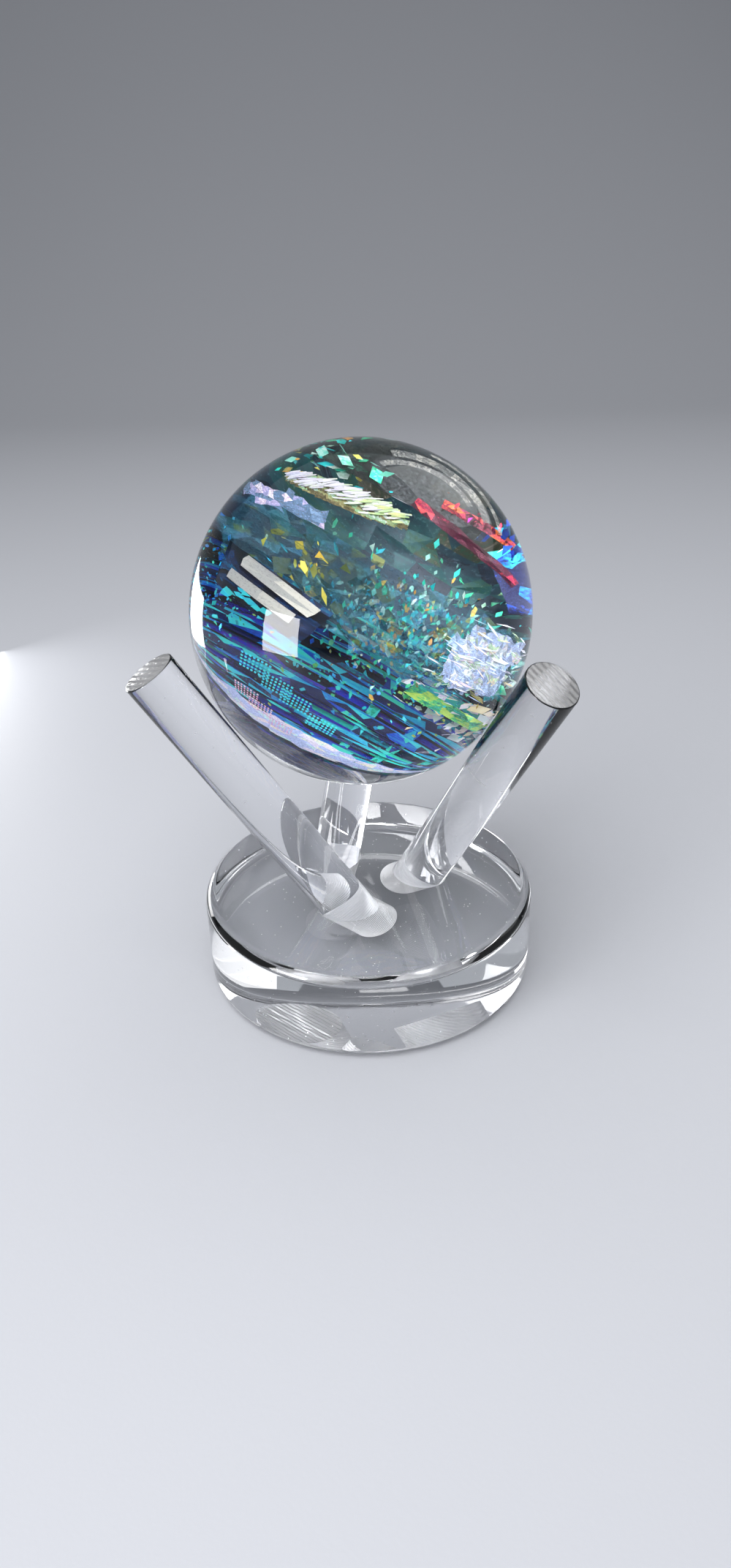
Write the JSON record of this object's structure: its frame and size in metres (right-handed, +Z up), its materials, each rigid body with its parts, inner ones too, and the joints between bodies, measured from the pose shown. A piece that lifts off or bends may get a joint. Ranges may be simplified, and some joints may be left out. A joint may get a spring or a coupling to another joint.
{
  "type": "crystal ball on stand",
  "caption": "Clear crystal ball with layers of colour-shifting film inside, resting loose in a cradle of slanted acrylic rods on a thick round acrylic base.",
  "frame": {"origin": "centre of the base's flat underside, on the surface it stands on", "axes": "+Z up along the stand's axis, -Y towards the front of the stand, between the left and right rods, +X to the right"},
  "size_m": [0.1239, 0.1242, 0.1722],
  "materials": {
    "clear_acrylic": "clear cast acrylic, polished; sawn frosted rod ends and sockets",
    "clear_resin": "clear casting resin, ground round and polished",
    "cyan_film": "colour-shifting film, cyan to green",
    "indigo_film": "colour-shifting film sheet, dark indigo",
    "violet_film": "colour-shifting film, indigo to violet",
    "green_film": "colour-shifting film chips, green",
    "gold_film": "colour-shifting film chips, gold to olive",
    "pink_film": "colour-shifting film, pink to orange",
    "lavender_film": "pearly wrinkled film, lavender",
    "pearl_film": "pearly creased film, white",
    "teal_film": "colour-shifting film sheet, dark teal",
    "grey_film": "plain film strips, beige grey",
    "smoky_film": "wrinkled translucent film, smoky teal"
  },
  "bodies": {
    "stand_base": {"base_disc": "clear_acrylic"},
    "rod_left": {"rod_left": "clear_acrylic"},
    "rod_right": {"rod_right": "clear_acrylic"},
    "rod_back": {"rod_back": "clear_acrylic"},
    "ball": {"ball_cap_top": "clear_resin", "ball_layer_upper": "clear_resin", "ball_layer_middle": "clear_resin", "ball_layer_lower": "clear_resin", "ball_layer_bottom": "clear_resin", "ball_cap_bottom": "clear_resin", "film_feather": "pearl_film", "film_lavender": "lavender_film", "film_ribbon_wide": "pink_film", "film_ribbon_narrow": "pink_film", "film_smoky_sheet": "smoky_film", "film_teal_sheet": "teal_film", "film_olive_sheet": "smoky_film", "film_navy_patch": "indigo_film", "film_blue_edge": "cyan_film", "film_grey_strip_1": "grey_film", "film_grey_strip_2": "grey_film", "film_indigo_sheet": "indigo_film", "film_crumpled": "pearl_film", "film_green_chip_1": "green_film", "film_green_chip_2": "green_film", "film_green_chip_3": "green_film", "film_green_chip_4": "green_film", "film_gold_chip_1": "gold_film", "film_gold_chip_2": "gold_film", "film_gold_chip_3": "gold_film", "film_gold_chip_4": "gold_film", "film_bright_chip_1": "green_film", "film_bright_chip_2": "green_film", "film_bright_chip_3": "green_film", "film_bright_chip_4": "green_film", "film_bright_chip_5": "green_film", "film_bright_chip_6": "green_film", "film_bright_chip_7": "green_film", "film_bright_chip_8": "green_film", "film_bright_chip_9": "green_film", "film_bright_chip_10": "green_film", "film_bright_chip_11": "green_film", "film_bright_chip_12": "green_film", "film_olive_chip_1": "gold_film", "film_olive_chip_2": "gold_film", "film_olive_chip_3": "gold_film", "film_olive_chip_4": "gold_film", "film_long_strip_1": "cyan_film", "film_long_strip_2": "cyan_film", "film_long_strip_3": "cyan_film", "film_long_strip_4": "cyan_film", "film_long_strip_5": "cyan_film", "film_cross_strip_1": "cyan_film", "film_cross_strip_2": "cyan_film", "film_cross_strip_3": "cyan_film", "film_cross_strip_4": "cyan_film", "film_low_strip_1": "violet_film", "film_low_strip_2": "violet_film", "film_low_strip_3": "violet_film", "film_low_strip_4": "violet_film"}
  },
  "joints": [
    {"name": "rod_left_slide", "type": "slide", "parent": "stand_base", "child": "rod_left", "axis": [-0.5248, -0.0738, 0.848], "range_m": [0, 0.03]},
    {"name": "rod_right_slide", "type": "slide", "parent": "stand_base", "child": "rod_right", "axis": [0.3263, -0.4176, 0.848], "range_m": [0, 0.03]},
    {"name": "rod_back_slide", "type": "slide", "parent": "stand_base", "child": "rod_back", "axis": [0.1985, 0.4913, 0.848], "range_m": [0, 0.03]},
    {"name": "ball_lift", "type": "slide", "parent": "stand_base", "child": "ball", "axis": [0, 0, 1], "range_m": [0, 0.06]}
  ]
}
